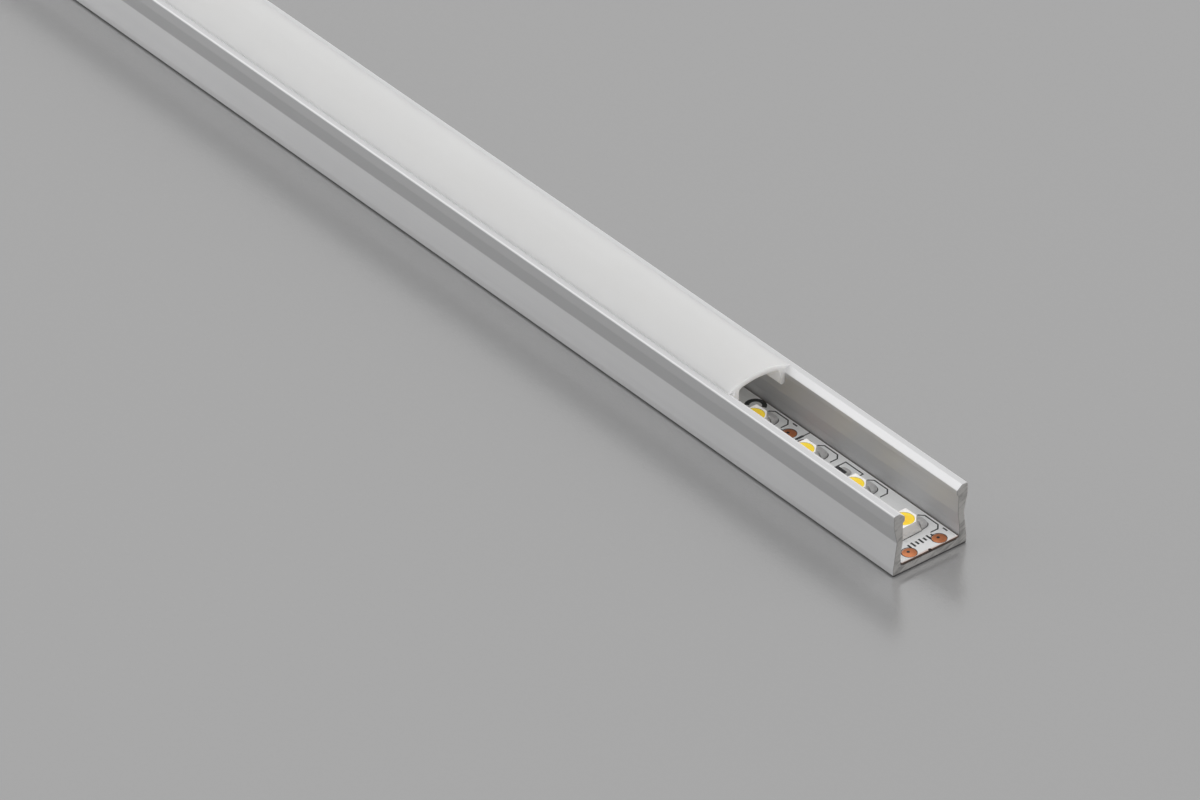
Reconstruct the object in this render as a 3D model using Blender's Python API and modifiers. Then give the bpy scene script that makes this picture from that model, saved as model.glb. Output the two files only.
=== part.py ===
"""Aluminium channel with an LED strip on its floor and a milky cover that slides along its lips.

X runs across the channel, Y along it and Z up. The open end of the channel faces -Y. The origin is the
bottom centre of the whole assembly, cover included. Everything hangs from one empty at the open end.
"""
import math

import bmesh
import bpy
from mathutils import Vector

MM = 0.001

# LED strip: a flexible board that is cut between segments
SEGMENTS = 8
SEGMENT_LENGTH = 25.0 * MM
LEDS_PER_SEGMENT = 3
BOARD_WIDTH = 8.0 * MM
BOARD_THICKNESS = 0.2 * MM
TAPE_WIDTH = 7.4 * MM
TAPE_THICKNESS = 0.12 * MM
FIRST_LED = 4.4 * MM
NOTCH_RADIUS = 0.22 * MM

# LED housing: a moulded body with a round reflector cup
LED_LENGTH = 3.5 * MM
LED_WIDTH = 2.8 * MM
LED_HEIGHT = 1.6 * MM
LED_PART_HEIGHT = 0.8 * MM
LED_DRAFT = 0.1 * MM
LED_KEY_CORNER = 0.8 * MM
CUP_TOP_RADIUS = 1.22 * MM
CUP_FLOOR_RADIUS = 0.95 * MM
CUP_DEPTH = 0.75 * MM
FILL_BELOW_RIM = 0.05 * MM
FILL_SAG = 0.06 * MM
FILL_RINGS = 3
ROUND_STEPS = 24

# Chip resistor: a ceramic body between two metal ends
RESISTOR_LENGTH = 3.2 * MM
RESISTOR_WIDTH = 1.6 * MM
RESISTOR_HEIGHT = 0.55 * MM
RESISTOR_END = 0.5 * MM
RESISTOR_END_PROUD = 0.05 * MM
RESISTOR_OFFSET = 0.25 * MM
RESISTOR_AFTER_LEDS = 2
RESISTOR_SHIFT = -0.3 * MM

# Channel section
BASE_THICKNESS = 1.0 * MM
FOOT_WALL = 1.05 * MM
WALL_HEIGHT = 6.9 * MM
WAIST_HEIGHT = 4.25 * MM
WAIST_DEPTH = 0.45 * MM
WAIST_WALL = 0.84 * MM
FOOT_BAND = 0.9 * MM
SHOULDER_BELOW_TOP = 1.5 * MM
LIP_REACH = 1.5 * MM
LIP_FLAT = 0.8 * MM
LIP_SLANT_DROP = 0.55 * MM
LIP_FACE = 0.55 * MM
RECESS_DEPTH = 0.25 * MM
RECESS_FLOOR_DROP = 0.75 * MM
OUTER_CORNER_RADIUS = 0.15 * MM
TOP_CORNER_RADIUS = 0.22 * MM
LIP_EDGE_RADIUS = 0.14 * MM
INNER_CORNER_RADIUS = 0.12 * MM
WAIST_RADIUS = 0.2 * MM
SHOULDER_RADIUS = 1.6 * MM

# Cover section
COVER_SETBACK = 28.5 * MM
COVER_RISE = 0.9 * MM
COVER_THICKNESS = 0.8 * MM
FLANGE_REACH = 0.72 * MM
FLANGE_THICKNESS = 0.32 * MM
LEG_THICKNESS = 0.7 * MM
LEG_DEPTH = 1.95 * MM
LEG_TAPER = 0.06 * MM
LEG_ROOT_RADIUS = 0.35 * MM
ARCH_STEPS = 12

# Clearances between the pieces
SEAT_GAP = 0.02 * MM
BOARD_SIDE_GAP = 0.1 * MM
COVER_SIDE_GAP = 0.05 * MM
COVER_SEAT_GAP = 0.04 * MM
FILL_GAP = 0.02 * MM

# Modelling tolerances
ARC_STEP = math.radians(15.0)
WELD_DISTANCE = 0.001 * MM
CUT_MARGIN = 0.5 * MM
SHARP_ANGLE = math.radians(32.0)

# Sizes that follow from the values above
STRIP_LENGTH = SEGMENTS * SEGMENT_LENGTH
LED_PITCH = SEGMENT_LENGTH / LEDS_PER_SEGMENT
LED_COUNT = SEGMENTS * LEDS_PER_SEGMENT
FIRST_RESISTOR = FIRST_LED + (RESISTOR_AFTER_LEDS - 1 / 2) * LED_PITCH + RESISTOR_SHIFT
OPEN_END_Y = -(STRIP_LENGTH + COVER_SETBACK) / 2
HALF_FLOOR = BOARD_WIDTH / 2 + BOARD_SIDE_GAP
HALF_WIDTH = HALF_FLOOR + FOOT_WALL
CHANNEL_TOP = BASE_THICKNESS + WALL_HEIGHT
LIP_INNER = HALF_WIDTH - LIP_REACH
HALF_WAIST = HALF_WIDTH - WAIST_DEPTH
TAPE_BOTTOM = BASE_THICKNESS + SEAT_GAP
BOARD_BOTTOM = TAPE_BOTTOM + TAPE_THICKNESS + SEAT_GAP
BOARD_TOP = BOARD_BOTTOM + BOARD_THICKNESS
COMPONENT_BOTTOM = BOARD_TOP + SEAT_GAP

# Colours (linear), roughness and metallic value
FINISHES = {
    "anodised_aluminium": ((0.56, 0.56, 0.57), 0.34, 1.0),
    "milky_cover": ((0.86, 0.86, 0.85), 0.38, 0.0),
    "board_coating": ((0.82, 0.83, 0.82), 0.42, 0.0),
    "tape_film": ((0.30, 0.27, 0.25), 0.65, 0.0),
    "led_housing": ((0.88, 0.87, 0.83), 0.45, 0.0),
    "phosphor_resin": ((0.95, 0.66, 0.05), 0.25, 0.0),
    "resistor_body": ((0.10, 0.10, 0.11), 0.40, 0.0),
}


def clear_scene():
    for item in list(bpy.data.objects):
        bpy.data.objects.remove(item, do_unlink=True)


def new_collection(name):
    collection = bpy.data.collections.new(name)
    bpy.context.scene.collection.children.link(collection)
    return collection


def finish_material(name):
    colour, roughness, metallic = FINISHES[name]
    material = bpy.data.materials.new(name)
    material.use_nodes = True
    shader = material.node_tree.nodes["Principled BSDF"]
    shader.inputs["Base Color"].default_value = (*colour, 1.0)
    shader.inputs["Roughness"].default_value = roughness
    shader.inputs["Metallic"].default_value = metallic
    material.diffuse_color = (*colour, 1.0)
    return material


def corner_points(before, corner, after, radius):
    """The arc that rounds one corner of an outline, kept within half of the shorter side."""
    to_before = before - corner
    to_after = after - corner
    turn = to_before.angle(to_after)
    if radius <= 0 or math.pi - turn < ARC_STEP / 4:
        return [corner]
    longest = 0.49 * min(to_before.length, to_after.length)
    setback = min(radius / math.tan(turn / 2), longest)
    fitted = setback * math.tan(turn / 2)
    bisector = (to_before.normalized() + to_after.normalized()).normalized()
    centre = corner + bisector * (fitted / math.sin(turn / 2))
    start = corner + to_before.normalized() * setback - centre
    sweep = start.angle_signed(corner + to_after.normalized() * setback - centre)
    steps = max(1, math.ceil(abs(sweep) / ARC_STEP))
    points = []
    for step in range(steps + 1):
        angle = -sweep * step / steps
        cosine, sine = math.cos(angle), math.sin(angle)
        points.append(centre + Vector((start.x * cosine - start.y * sine, start.x * sine + start.y * cosine)))
    return points


def rounded_outline(corners):
    """A closed outline from (x, z, radius) corners."""
    places = [Vector(corner[:2]) for corner in corners]
    points = []
    for index, place in enumerate(places):
        after = places[(index + 1) % len(places)]
        points += corner_points(places[index - 1], place, after, corners[index][2])
    return points


def opposite(half):
    """The corners of a section's -X half, from those of its +X half."""
    return [(-x, z, radius) for x, z, radius in reversed(half)]


def arc_height(x, half_chord, rise):
    """Height over its chord of a circular arc at the distance x from its middle."""
    radius = (half_chord ** 2 + rise ** 2) / (2 * rise)
    return math.sqrt(radius ** 2 - x ** 2) - (radius - rise)


def mesh_from_curve(curve, name):
    """The welded mesh of a curve, in the curve's own space."""
    bent = bpy.data.objects.new(name + "_outline", curve)
    bpy.context.scene.collection.objects.link(bent)
    bpy.context.view_layer.update()
    evaluated = bent.evaluated_get(bpy.context.evaluated_depsgraph_get())
    mesh = bpy.data.meshes.new_from_object(evaluated)
    mesh.name = name
    bpy.data.objects.remove(bent)
    shell = bmesh.new()
    shell.from_mesh(mesh)
    bmesh.ops.remove_doubles(shell, verts=shell.verts, dist=WELD_DISTANCE)
    shell.to_mesh(mesh)
    shell.free()
    return mesh


def extruded_outline(name, points, length):
    """A closed body with the given section in X and Z that runs from y = 0 to y = length."""
    curve = bpy.data.curves.new(name, "CURVE")
    curve.dimensions = "2D"
    curve.fill_mode = "BOTH"
    curve.extrude = length / 2
    spline = curve.splines.new("POLY")
    spline.points.add(len(points) - 1)
    for point, place in zip(spline.points, points):
        point.co = (place.x, place.y, 0.0, 1.0)
    spline.use_cyclic_u = True
    mesh = mesh_from_curve(curve, name)
    body = bmesh.new()
    body.from_mesh(mesh)
    for vertex in body.verts:
        x, z, along = vertex.co
        vertex.co = (x, length / 2 - along, z)
    body.to_mesh(mesh)
    body.free()
    return mesh


def box_mesh(name, size, bottom=0.0):
    """A box centred on x = y = 0 that stands on z = bottom."""
    body = bmesh.new()
    bmesh.ops.create_cube(body, size=1.0)
    bmesh.ops.scale(body, vec=size, verts=body.verts)
    bmesh.ops.translate(body, vec=(0.0, 0.0, bottom + size[2] / 2), verts=body.verts)
    mesh = bpy.data.meshes.new(name)
    body.to_mesh(mesh)
    body.free()
    return mesh


def place(name, mesh, material, collection, parent, location=(0.0, 0.0, 0.0)):
    """An object on its parent, shaded smooth with sharp edges left sharp."""
    mesh.shade_smooth()
    mesh.set_sharp_from_angle(angle=SHARP_ANGLE)
    if material.name not in mesh.materials:
        mesh.materials.append(material)
    item = bpy.data.objects.new(name, mesh)
    collection.objects.link(item)
    item.parent = parent
    item.location = location
    return item


def boolean_mesh(name, mesh, operation, tools, cutters):
    """The mesh after a chain of Boolean modifiers, one for each tool mesh."""
    base = bpy.data.objects.new(name + "_blank", mesh)
    cutters.objects.link(base)
    for index, tool_mesh in enumerate(tools):
        tool = bpy.data.objects.new(f"{name}_tool_{index + 1}", tool_mesh)
        cutters.objects.link(tool)
        tool.hide_render = True
        tool.display_type = "WIRE"
        modifier = base.modifiers.new(f"{operation.lower()}_{index + 1}", "BOOLEAN")
        modifier.operation = operation
        modifier.solver = "EXACT"
        modifier.object = tool
    bpy.context.view_layer.update()
    evaluated = base.evaluated_get(bpy.context.evaluated_depsgraph_get())
    result = bpy.data.meshes.new_from_object(evaluated)
    result.name = name
    bpy.data.objects.remove(base)
    return result


def channel_section():
    """Base, waisted walls and slanted lips of the extrusion."""
    recess_wall = LIP_INNER + RECESS_DEPTH
    lip_underside = CHANNEL_TOP - LIP_SLANT_DROP - LIP_FACE
    ridge = HALF_WAIST - WAIST_WALL
    half = [
        (HALF_WIDTH, 0.0, OUTER_CORNER_RADIUS),
        (HALF_WIDTH, FOOT_BAND, SHOULDER_RADIUS),
        (HALF_WAIST, WAIST_HEIGHT, WAIST_RADIUS),
        (HALF_WIDTH, CHANNEL_TOP - SHOULDER_BELOW_TOP, SHOULDER_RADIUS),
        (HALF_WIDTH, CHANNEL_TOP, TOP_CORNER_RADIUS),
        (HALF_WIDTH - LIP_FLAT, CHANNEL_TOP, LIP_EDGE_RADIUS),
        (LIP_INNER, CHANNEL_TOP - LIP_SLANT_DROP, LIP_EDGE_RADIUS),
        (LIP_INNER, lip_underside, INNER_CORNER_RADIUS),
        (recess_wall, lip_underside - RECESS_DEPTH, INNER_CORNER_RADIUS),
        (recess_wall, WAIST_HEIGHT + RECESS_FLOOR_DROP, SHOULDER_RADIUS),
        (ridge, WAIST_HEIGHT, WAIST_RADIUS),
        (HALF_FLOOR, (BASE_THICKNESS + WAIST_HEIGHT) / 2, SHOULDER_RADIUS),
        (HALF_FLOOR, BASE_THICKNESS, INNER_CORNER_RADIUS),
    ]
    return rounded_outline(half + opposite(half))


def cover_section():
    """Low arch with a flange that rests on each lip and a leg that drops between the lips."""
    flange_bottom = CHANNEL_TOP + COVER_SEAT_GAP
    flange_top = flange_bottom + FLANGE_THICKNESS
    leg_outer = LIP_INNER - COVER_SIDE_GAP
    leg_inner = leg_outer - LEG_THICKNESS
    flange_tip = LIP_INNER + FLANGE_REACH
    leg_tip = flange_bottom - LEG_DEPTH
    crown = flange_top + COVER_RISE
    arch_rise = arc_height(leg_inner, flange_tip, COVER_RISE)
    half = []
    for step in range(1, ARCH_STEPS):
        x = flange_tip * step / ARCH_STEPS
        half.append((x, flange_top + arc_height(x, flange_tip, COVER_RISE), 0.0))
    half += [
        (flange_tip, flange_top, FLANGE_THICKNESS / 3),
        (flange_tip, flange_bottom, FLANGE_THICKNESS / 3),
        (leg_outer, flange_bottom, 0.0),
        (leg_outer - LEG_TAPER, leg_tip, LEG_THICKNESS / 2),
        (leg_inner + LEG_TAPER, leg_tip, LEG_THICKNESS / 2),
        (leg_inner, flange_top + arch_rise - COVER_THICKNESS, LEG_ROOT_RADIUS),
    ]
    for step in range(ARCH_STEPS - 1, 0, -1):
        x = leg_inner * step / ARCH_STEPS
        height = flange_top + arc_height(x, flange_tip, COVER_RISE) - COVER_THICKNESS
        half.append((x, height, 0.0))
    crown_top = [(0.0, crown, 0.0)]
    crown_underside = [(0.0, crown - COVER_THICKNESS, 0.0)]
    return rounded_outline(crown_top + half + crown_underside + opposite(half))


def board_section():
    half_width = BOARD_WIDTH / 2
    return rounded_outline([
        (half_width, BOARD_BOTTOM, 0.0),
        (half_width, BOARD_TOP, 0.0),
        (-half_width, BOARD_TOP, 0.0),
        (-half_width, BOARD_BOTTOM, 0.0),
    ])


def turned_mesh(name, profile, cutters):
    """A solid of revolution about Z, from (radius, z) points that run down its outer side."""
    line = bmesh.new()
    corners = [line.verts.new((radius, 0.0, z)) for radius, z in profile]
    for upper, lower in zip(corners, corners[1:]):
        line.edges.new((upper, lower))
    mesh = bpy.data.meshes.new(name + "_profile")
    line.to_mesh(mesh)
    line.free()
    lathe = bpy.data.objects.new(name + "_lathe", mesh)
    cutters.objects.link(lathe)
    screw = lathe.modifiers.new("turn", "SCREW")
    screw.axis = "Z"
    screw.steps = ROUND_STEPS
    screw.render_steps = ROUND_STEPS
    screw.use_merge_vertices = True
    screw.merge_threshold = WELD_DISTANCE
    bpy.context.view_layer.update()
    evaluated = lathe.evaluated_get(bpy.context.evaluated_depsgraph_get())
    result = bpy.data.meshes.new_from_object(evaluated)
    result.name = name
    bpy.data.objects.remove(lathe)
    return result


def led_housing_mesh(cutters):
    """Moulded body with drafted sides, one cut-off key corner and a conical cup."""
    body = bmesh.new()
    bmesh.ops.create_cube(body, size=1.0)
    bmesh.ops.scale(body, vec=(LED_LENGTH, LED_WIDTH, LED_HEIGHT), verts=body.verts)
    bmesh.ops.translate(body, vec=(0.0, 0.0, LED_HEIGHT / 2), verts=body.verts)
    bmesh.ops.bisect_plane(
        body,
        geom=body.verts[:] + body.edges[:] + body.faces[:],
        dist=WELD_DISTANCE,
        plane_co=(0.0, 0.0, LED_PART_HEIGHT),
        plane_no=(0.0, 0.0, 1.0),
    )
    for vertex in body.verts:
        if abs(vertex.co.z - LED_PART_HEIGHT) > WELD_DISTANCE:
            vertex.co.x -= math.copysign(LED_DRAFT, vertex.co.x)
            vertex.co.y -= math.copysign(LED_DRAFT, vertex.co.y)
    key_edges = []
    for edge in body.edges:
        middle = (edge.verts[0].co + edge.verts[1].co) / 2
        if middle.x > LED_WIDTH / 4 and middle.y < -LED_WIDTH / 4 and middle.z > LED_PART_HEIGHT:
            if abs(edge.verts[0].co.z - edge.verts[1].co.z) > LED_PART_HEIGHT / 2:
                key_edges.append(edge)
    bmesh.ops.bevel(
        body,
        geom=key_edges,
        offset=LED_KEY_CORNER,
        offset_type="OFFSET",
        segments=1,
        profile=0.5,
        affect="EDGES",
        material=-1,
    )
    blank = bpy.data.meshes.new("led_blank")
    body.to_mesh(blank)
    body.free()
    cup_floor = LED_HEIGHT - CUP_DEPTH
    slope = (CUP_TOP_RADIUS - CUP_FLOOR_RADIUS) / CUP_DEPTH
    cup = turned_mesh("led_cup", [
        (0.0, LED_HEIGHT + CUT_MARGIN),
        (CUP_TOP_RADIUS + slope * CUT_MARGIN, LED_HEIGHT + CUT_MARGIN),
        (CUP_FLOOR_RADIUS, cup_floor),
        (0.0, cup_floor),
    ], cutters)
    return boolean_mesh("led_housing", blank, "DIFFERENCE", [cup], cutters)


def phosphor_mesh(cutters):
    """The resin in the cup, a hair clear of its wall and hollowed a little at the top."""
    bottom = LED_HEIGHT - CUP_DEPTH + FILL_GAP
    top = LED_HEIGHT - FILL_BELOW_RIM
    slope = (CUP_TOP_RADIUS - CUP_FLOOR_RADIUS) / CUP_DEPTH
    bottom_radius = CUP_FLOOR_RADIUS - FILL_GAP
    top_radius = bottom_radius + slope * (top - bottom)
    hollow = []
    for ring in range(FILL_RINGS + 1):
        share = ring / FILL_RINGS
        hollow.append((top_radius * share, top - FILL_SAG * (1 - share ** 2)))
    return turned_mesh("phosphor", hollow + [(bottom_radius, bottom), (0.0, bottom)], cutters)


def resistor_mesh(cutters):
    """Ceramic body with a slightly proud metal end on each side."""
    body_length = RESISTOR_LENGTH - RESISTOR_END
    body_width = RESISTOR_WIDTH - 2 * RESISTOR_END_PROUD
    body_height = RESISTOR_HEIGHT - RESISTOR_END_PROUD
    body = box_mesh("resistor_blank", (body_length, body_width, body_height - RESISTOR_END_PROUD), RESISTOR_END_PROUD)
    ends = []
    for side in (-1, 1):
        end = box_mesh("resistor_end", (RESISTOR_END, RESISTOR_WIDTH, RESISTOR_HEIGHT))
        middle = side * (RESISTOR_LENGTH - RESISTOR_END) / 2
        for vertex in end.vertices:
            vertex.co.x += middle
        ends.append(end)
    return boolean_mesh("resistor", body, "UNION", ends, cutters)


def board_mesh(cutters):
    """Flexible board with a half-round test notch in the middle of each cut end."""
    blank = extruded_outline("board_blank", board_section(), STRIP_LENGTH)
    notches = []
    for end in (0.0, STRIP_LENGTH):
        notch = bmesh.new()
        bmesh.ops.create_cone(
            notch,
            cap_ends=True,
            segments=ROUND_STEPS // 2,
            radius1=NOTCH_RADIUS,
            radius2=NOTCH_RADIUS,
            depth=BOARD_THICKNESS + 2 * CUT_MARGIN,
        )
        middle = (BOARD_BOTTOM + BOARD_TOP) / 2
        bmesh.ops.translate(notch, vec=(0.0, end, middle), verts=notch.verts)
        mesh = bpy.data.meshes.new("notch")
        notch.to_mesh(mesh)
        notch.free()
        notches.append(mesh)
    return boolean_mesh("board", blank, "DIFFERENCE", notches, cutters)


def build():
    clear_scene()
    parts = new_collection("led_strip_profile")
    cutters = new_collection("cutters")
    materials = {name: finish_material(name) for name in FINISHES}

    open_end = bpy.data.objects.new("open_end", None)
    open_end.location = (0.0, OPEN_END_Y, 0.0)
    parts.objects.link(open_end)

    channel = extruded_outline("channel", channel_section(), STRIP_LENGTH)
    place("channel", channel, materials["anodised_aluminium"], parts, open_end)

    cover = extruded_outline("diffuser_cover", cover_section(), STRIP_LENGTH)
    cover_place = (0.0, COVER_SETBACK, 0.0)
    place("diffuser_cover", cover, materials["milky_cover"], parts, open_end, cover_place)

    tape = box_mesh("adhesive_tape", (TAPE_WIDTH, STRIP_LENGTH, TAPE_THICKNESS))
    tape_place = (0.0, STRIP_LENGTH / 2, TAPE_BOTTOM)
    place("adhesive_tape", tape, materials["tape_film"], parts, open_end, tape_place)

    place("circuit_board", board_mesh(cutters), materials["board_coating"], parts, open_end)

    housing = led_housing_mesh(cutters)
    phosphor = phosphor_mesh(cutters)
    for index in range(LED_COUNT):
        spot = (0.0, FIRST_LED + index * LED_PITCH, COMPONENT_BOTTOM)
        place(f"led_{index + 1:02d}", housing, materials["led_housing"], parts, open_end, spot)
        place(f"phosphor_{index + 1:02d}", phosphor, materials["phosphor_resin"], parts, open_end, spot)

    resistor = resistor_mesh(cutters)
    for index in range(SEGMENTS):
        spot = (RESISTOR_OFFSET, FIRST_RESISTOR + index * SEGMENT_LENGTH, COMPONENT_BOTTOM)
        place(f"resistor_{index + 1}", resistor, materials["resistor_body"], parts, open_end, spot)


build()
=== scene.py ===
"""Dresses an aluminium channel, the LED strip on its floor and the milky cover that slides along its lips."""

import math

import bmesh
import bpy
from mathutils import Matrix, Vector


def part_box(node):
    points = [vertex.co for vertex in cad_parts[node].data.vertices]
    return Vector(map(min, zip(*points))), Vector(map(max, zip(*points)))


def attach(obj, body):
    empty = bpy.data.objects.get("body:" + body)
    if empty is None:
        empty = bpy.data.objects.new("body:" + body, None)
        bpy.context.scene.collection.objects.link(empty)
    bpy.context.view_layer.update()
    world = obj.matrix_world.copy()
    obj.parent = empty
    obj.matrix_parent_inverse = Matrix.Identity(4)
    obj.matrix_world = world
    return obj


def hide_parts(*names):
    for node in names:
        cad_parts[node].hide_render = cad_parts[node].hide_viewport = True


bl_info = {
    "name": "LED strip channel",
    "version": (1, 0, 0),
    "blender": (4, 5, 0),
    "location": "3D View > Sidebar > LED Channel",
    "description": "Builds the finish of an aluminium channel with an LED strip and a diffuser cover",
    "category": "Object",
}

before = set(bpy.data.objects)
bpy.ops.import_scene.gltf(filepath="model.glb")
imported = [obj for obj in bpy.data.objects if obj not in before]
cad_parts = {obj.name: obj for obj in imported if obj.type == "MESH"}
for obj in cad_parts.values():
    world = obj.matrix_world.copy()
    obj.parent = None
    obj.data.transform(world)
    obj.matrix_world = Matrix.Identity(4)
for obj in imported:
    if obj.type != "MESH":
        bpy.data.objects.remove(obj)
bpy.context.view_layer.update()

MM = 0.001

CHANNEL_LOW, CHANNEL_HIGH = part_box("channel")
COVER_LOW, COVER_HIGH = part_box("diffuser_cover")
BOARD_LOW, BOARD_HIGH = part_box("circuit_board")
LED_NODES = sorted(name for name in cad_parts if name.startswith("led_"))
PHOSPHOR_NODES = sorted(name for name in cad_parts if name.startswith("phosphor_"))
RESISTOR_NODES = sorted(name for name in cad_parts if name.startswith("resistor_"))

OPEN_END = CHANNEL_LOW.y
FAR_END = CHANNEL_HIGH.y
CHANNEL_LENGTH = FAR_END - OPEN_END
CHANNEL_TOP = CHANNEL_HIGH.z
HALF_WIDTH = CHANNEL_HIGH.x
BOARD_TOP = BOARD_HIGH.z
LED_LOW, LED_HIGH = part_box(LED_NODES[0])
LED_BOTTOM = LED_LOW.z
LED_SIZE = LED_HIGH - LED_LOW
LED_PLACES = [sum(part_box(name), Vector()) / 2 for name in LED_NODES]
LED_PITCH = LED_PLACES[1].y - LED_PLACES[0].y
TURNS = (2.0, 0.8, -1.2, 0.5, -0.6, 1.5)
LED_TURNS = [math.radians(TURNS[index % len(TURNS)]) for index in range(len(LED_NODES))]
SEGMENT_LENGTH = CHANNEL_LENGTH / len(RESISTOR_NODES)

SMOOTH_LIMIT = math.radians(32.0)
NEARLY = 0.001 * MM
WELD_REACH = 0.0005 * MM
LONG_EDGE_STEPS = 6
CUP_STEPS = 48
BLACK = (0.0, 0.0, 0.0)

# Half the side of the square floor, and each lamp's place and width, in metres.
FLOOR_REACH = 3.0
LAMPS = {
    "key": ((-0.53, 0.7, 1.09), 1.3),
    "fill": ((-0.28, 0.27, 0.09), 0.15),
    "front": ((0.6, -0.6, 0.6), 1.2),
}


def number_property(description, default, least=0.0, **options):
    return bpy.props.FloatProperty(description=description, default=default, min=least, **options)


def size_property(description, millimetres):
    return number_property(description, millimetres * MM, precision=5, unit="LENGTH")


def share_property(description, default):
    return number_property(description, default, max=1.0, subtype="FACTOR")


def angle_property(description, degrees):
    return number_property(description, math.radians(degrees), -math.pi, subtype="ANGLE")


def colour_property(description, default):
    return bpy.props.FloatVectorProperty(
        description=description, default=default, size=3, min=0.0, max=1.0, subtype="COLOR"
    )


class StageSettings(bpy.types.PropertyGroup):
    floor_colour: colour_property("Colour of the plain floor", (0.262, 0.262, 0.2615))
    floor_roughness: share_property("Roughness of the floor", 0.18)
    floor_gloss: number_property("Refractive index of the floor's glossy coat", 2.7, 1.0)
    dome_strength: number_property("Strength of the light from all round", 0.85)
    dome_left: share_property("How much darker the dome is on the left", 0.42)
    dome_front: share_property("How much darker the dome is low in front", 0.15)
    key_power: number_property("Power of the large lamp behind on the left", 3.5, unit="POWER")
    fill_power: number_property("Power of the small lamp low on the left", 0.19, unit="POWER")
    front_power: number_property("Power of the large lamp in front on the right", 2.6, unit="POWER")
    azimuth: angle_property("Camera's turn round the object", -38.9034)
    elevation: angle_property("Camera's height above the horizon", 34.8597)
    distance: size_property("From the camera to the open end, along its view", 960.083)
    aim_left: size_property("How far left of the open end the camera aims", 35.1848)
    aim_above: size_property("How far above the open end's foot the camera aims", 17.0505)
    lens: number_property("Focal length in millimetres", 270.0, 1.0)


class ChannelSettings(bpy.types.PropertyGroup):
    base: size_property("Thickness of the channel's base", 1.0)
    foot_wall: size_property("Thickness of a wall at the base", 1.05)
    waist_height: size_property("Height of the line where a wall pinches in", 4.25)
    waist_depth: size_property("How far a wall pinches in", 0.45)
    waist_wall: size_property("Thickness of a wall at its waist", 0.84)
    foot_band: size_property("Height of the upright band above the base", 0.9)
    shoulder_drop: size_property("From the top down to where the wall starts to pinch in", 1.5)
    lip_reach: size_property("From a wall's outer face to its lip's edge", 1.5)
    lip_flat: size_property("Width of the flat on a lip", 0.8)
    lip_drop: size_property("Height lost over the lip's slant", 0.55)
    lip_face: size_property("Height of the lip's upright edge", 0.55)
    recess: size_property("Depth of the groove under a lip", 0.25)
    recess_floor: size_property("Height of the groove's floor above the waist", 0.75)
    deburr: size_property("Width of the broken edge at the cut ends", 0.08)
    colour: colour_property("Colour of the anodised surface", (0.79, 0.79, 0.795))
    cut_colour: colour_property("Colour of the bare sawn ends", (0.545, 0.533, 0.52))
    roughness: share_property("Roughness of the anodised surface", 0.70)


class CoverSettings(bpy.types.PropertyGroup):
    rise: size_property("Height of the arch above the flanges' edges", 1.03)
    thickness: size_property("Thickness of the arch", 0.8)
    flange: size_property("Thickness of the flange at its edge", 0.22)
    leg: size_property("Thickness of a leg", 0.7)
    leg_reach: size_property("From the cover's edge in to a leg's outer face", 0.77)
    leg_taper: size_property("How far each face of a leg draws in towards its tip", 0.06)
    root_radius: size_property("Fillet between a leg and the arch", 0.35)
    deburr: size_property("Width of the broken edge at the cut ends", 0.05)
    colour: colour_property("Colour of the diffusing plastic", (0.678, 0.678, 0.676))
    roughness: share_property("Roughness of the plastic", 0.42)
    # Strength of the painted glow on the cover's inner faces.
    glow: share_property("Daylight that comes back out of the plastic's inner faces", 0.2)


class StripSettings(bpy.types.PropertyGroup):
    cut_from_end: size_property("From the open end to the first cut line inside the strip", 24.63)
    pad_radius: size_property("Radius of a round copper pad", 0.83)
    pad_hole: size_property("Radius of the plated hole in a pad", 0.2)
    hole_shift: size_property("How far behind a pad's middle its hole lies", 0.2)
    pad_side: size_property("From the strip's middle line to a pad", 2.1)
    pad_from_cut: size_property("From a cut line to the pads on both of its sides", 1.3)
    sign_from_cut: size_property("From a cut line to the signs and ticks behind it", 2.16)
    copper_lift: size_property("How far a pad stands above the board", 0.02)
    print_width: size_property("Width of a printed line", 0.16)
    print_lift: size_property("Thickness of the printed ink", 0.012)
    ring_radius: size_property("Middle radius of the open ring printed on the strip", 0.98)
    ring_width: size_property("Width of the ring mark's line", 0.56)
    coating: colour_property("Colour of the white coating", (0.83, 0.835, 0.835))
    scorched: colour_property("Colour of the coating browned at the cut ends", (0.60, 0.40, 0.33))
    # This colour is also the painted shadow line along the top of the board's long sides.
    edge: colour_property("Colour of the board's cut edges", (0.060, 0.035, 0.025))
    tape: colour_property("Colour of the tape under the board", (0.050, 0.042, 0.038))
    # This colour is also used for the painted shadow lines round the housings' feet and the solder lobes.
    ink: colour_property("Colour of the printed outlines", (0.016, 0.018, 0.018))
    copper: colour_property("Colour of the bare copper", (0.74, 0.28, 0.13))


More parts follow.
